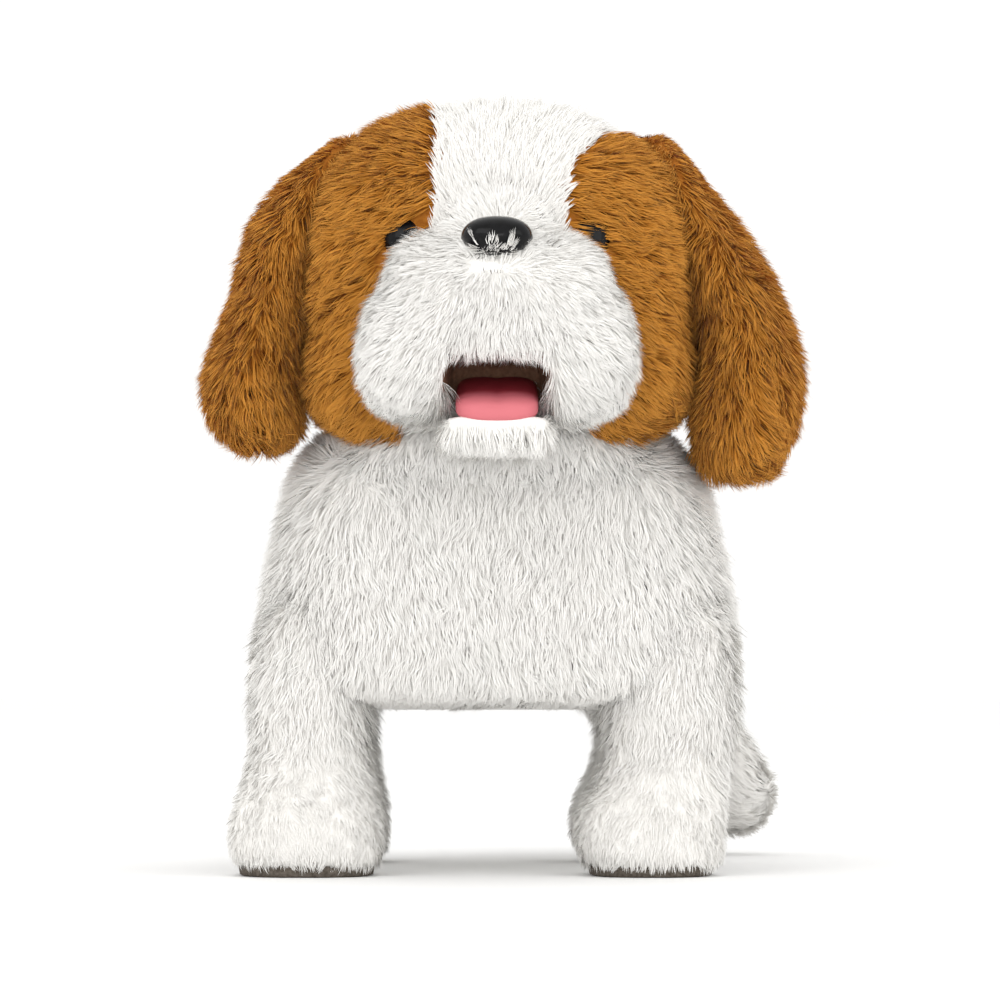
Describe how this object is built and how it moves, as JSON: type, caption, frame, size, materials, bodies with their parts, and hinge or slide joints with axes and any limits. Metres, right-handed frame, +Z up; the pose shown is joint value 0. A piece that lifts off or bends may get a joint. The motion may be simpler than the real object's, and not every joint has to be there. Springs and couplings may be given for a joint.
{
  "type": "walking plush puppy",
  "caption": "Floppy-eared plush puppy on a plastic chassis: geared walking legs, nodding head, opening mouth, wagging tail, battery compartment and belly switch.",
  "frame": {"origin": "on the floor under the middle of the bounding box", "axes": "+Z up, the puppy faces -Y, +X is the right-hand side seen from the front. Left and right in node names are as seen from the front"},
  "size_m": [0.1654, 0.244, 0.21],
  "materials": {
    "white_plush": "long off-white pile",
    "brown_plush": "long caramel pile",
    "shell_plastic": "fine moulded texture",
    "gear_plastic": "smooth moulded",
    "steel": "plain",
    "brass": "plain",
    "circuit": "solder-masked board",
    "black_plastic": "polished",
    "cell_wrap": "printed-free sleeve",
    "mouth_lining": "short nap",
    "tongue": "felt",
    "sole": "flat woven",
    "black_wire": "insulation"
  },
  "bodies": {
    "body": {"chassis_lower": "shell_plastic", "chassis_upper": "shell_plastic", "chassis_screw_1": "steel", "chassis_screw_2": "steel", "chassis_screw_3": "steel", "neck_pin": "steel", "gearbox_frame": "shell_plastic", "motor": "steel", "cell_left": "cell_wrap", "cell_middle": "cell_wrap", "cell_right": "cell_wrap", "contact_front": "brass", "contact_rear": "brass", "circuit_board": "circuit", "speaker": "black_plastic", "switch_body": "black_plastic", "wire_harness": "black_wire", "body_plush": "white_plush"},
    "crank": {"drive_gear": "gear_plastic", "crank_shaft": "steel", "crank_left": "gear_plastic", "crank_right": "gear_plastic"},
    "middle_gear": {"middle_gear": "gear_plastic"},
    "first_gear": {"first_gear": "gear_plastic"},
    "motor_rotor": {"motor_pinion": "brass"},
    "head": {"skull_front": "shell_plastic", "skull_rear": "shell_plastic", "head_plush": "white_plush", "face_patch_left": "brown_plush", "face_patch_right": "brown_plush", "eye_left": "black_plastic", "eye_right": "black_plastic", "muzzle_plush": "white_plush", "nose": "black_plastic", "mouth_lining": "mouth_lining"},
    "jaw": {"jaw_core": "shell_plastic", "jaw_plush": "white_plush", "tongue": "tongue"},
    "ear_left": {"ear_left": "brown_plush"},
    "ear_right": {"ear_right": "brown_plush"},
    "tail": {"tail_plush": "white_plush", "tail_lever": "shell_plastic"},
    "switch": {"switch_knob": "black_plastic"},
    "cover": {"battery_cover": "shell_plastic", "cover_screw": "steel"},
    "rod_left": {"coupling_rod_left": "gear_plastic"},
    "rod_right": {"coupling_rod_right": "gear_plastic"},
    "leg_front_left": {"leg_core_front_left": "shell_plastic", "leg_plush_front_left": "white_plush", "sole_front_left": "sole"},
    "leg_front_right": {"leg_core_front_right": "shell_plastic", "leg_plush_front_right": "white_plush", "sole_front_right": "sole"},
    "leg_rear_left": {"leg_core_rear_left": "shell_plastic", "leg_plush_rear_left": "white_plush", "sole_rear_left": "sole"},
    "leg_rear_right": {"leg_core_rear_right": "shell_plastic", "leg_plush_rear_right": "white_plush", "sole_rear_right": "sole"}
  },
  "joints": [
    {"name": "crank_turn", "type": "hinge", "parent": "body", "child": "crank", "pos_m": [0, 0, 0.0852], "axis": [1, 0, 0], "continuous": true},
    {"name": "middle_gear_turn", "type": "hinge", "parent": "body", "child": "middle_gear", "pos_m": [0, 0.021, 0.0852], "axis": [1, 0, 0], "continuous": true},
    {"name": "first_gear_turn", "type": "hinge", "parent": "body", "child": "first_gear", "pos_m": [0, 0.03641, 0.07802], "axis": [1, 0, 0], "continuous": true},
    {"name": "motor_turn", "type": "hinge", "parent": "body", "child": "motor_rotor", "pos_m": [0, 0.04441, 0.06416], "axis": [1, 0, 0], "continuous": true},
    {"name": "hip_front_left", "type": "hinge", "parent": "body", "child": "leg_front_left", "pos_m": [-0.0432, -0.045, 0.062], "axis": [1, 0, 0], "range_deg": [-16, 16]},
    {"name": "hip_front_right", "type": "hinge", "parent": "body", "child": "leg_front_right", "pos_m": [0.0432, -0.045, 0.062], "axis": [1, 0, 0], "range_deg": [-16, 16]},
    {"name": "hip_rear_left", "type": "hinge", "parent": "body", "child": "leg_rear_left", "pos_m": [-0.0432, 0.045, 0.062], "axis": [1, 0, 0], "range_deg": [-16, 16]},
    {"name": "hip_rear_right", "type": "hinge", "parent": "body", "child": "leg_rear_right", "pos_m": [0.0432, 0.045, 0.062], "axis": [1, 0, 0], "range_deg": [-16, 16]},
    {"name": "rod_left_pin", "type": "hinge", "parent": "leg_front_left", "child": "rod_left", "pos_m": [-0.0467, -0.045, 0.076], "axis": [1, 0, 0], "range_deg": [-16, 16]},
    {"name": "rod_right_pin", "type": "hinge", "parent": "leg_front_right", "child": "rod_right", "pos_m": [0.0467, -0.045, 0.076], "axis": [1, 0, 0], "range_deg": [-16, 16]},
    {"name": "head_nod", "type": "hinge", "parent": "body", "child": "head", "pos_m": [0, -0.038, 0.117], "axis": [1, 0, 0], "range_deg": [-6, 6]},
    {"name": "jaw_open", "type": "hinge", "parent": "head", "child": "jaw", "pos_m": [0, -0.064, 0.127], "axis": [1, 0, 0], "range_deg": [-3, 16]},
    {"name": "ear_left_lift", "type": "hinge", "parent": "head", "child": "ear_left", "pos_m": [-0.047, -0.048, 0.196], "axis": [0, 1, 0], "range_deg": [0, 55]},
    {"name": "ear_right_lift", "type": "hinge", "parent": "head", "child": "ear_right", "pos_m": [0.047, -0.048, 0.196], "axis": [0, -1, 0], "range_deg": [0, 55]},
    {"name": "tail_wag", "type": "hinge", "parent": "body", "child": "tail", "pos_m": [0, 0.0612, 0.062], "axis": [0, 0, 1], "range_deg": [-13, 13]},
    {"name": "power_switch", "type": "slide", "parent": "body", "child": "switch", "axis": [1, 0, 0], "range_m": [0, 0.003]},
    {"name": "cover_open", "type": "hinge", "parent": "body", "child": "cover", "pos_m": [0, -0.0293, 0.048], "axis": [-1, 0, 0], "range_deg": [0, 40]}
  ],
  "couplings": [
    {"joint": "middle_gear_turn", "follows": "crank_turn", "ratio": -3.2},
    {"joint": "first_gear_turn", "follows": "crank_turn", "ratio": 7.68},
    {"joint": "motor_turn", "follows": "crank_turn", "ratio": -16.896},
    {"joint": "hip_front_right", "follows": "hip_front_left", "ratio": -1},
    {"joint": "hip_rear_left", "follows": "hip_front_left", "ratio": 1},
    {"joint": "hip_rear_right", "follows": "hip_front_left", "ratio": -1},
    {"joint": "rod_left_pin", "follows": "hip_front_left", "ratio": -1},
    {"joint": "rod_right_pin", "follows": "hip_front_left", "ratio": 1},
    {"joint": "tail_wag", "follows": "hip_front_left", "ratio": -0.8}
  ]
}
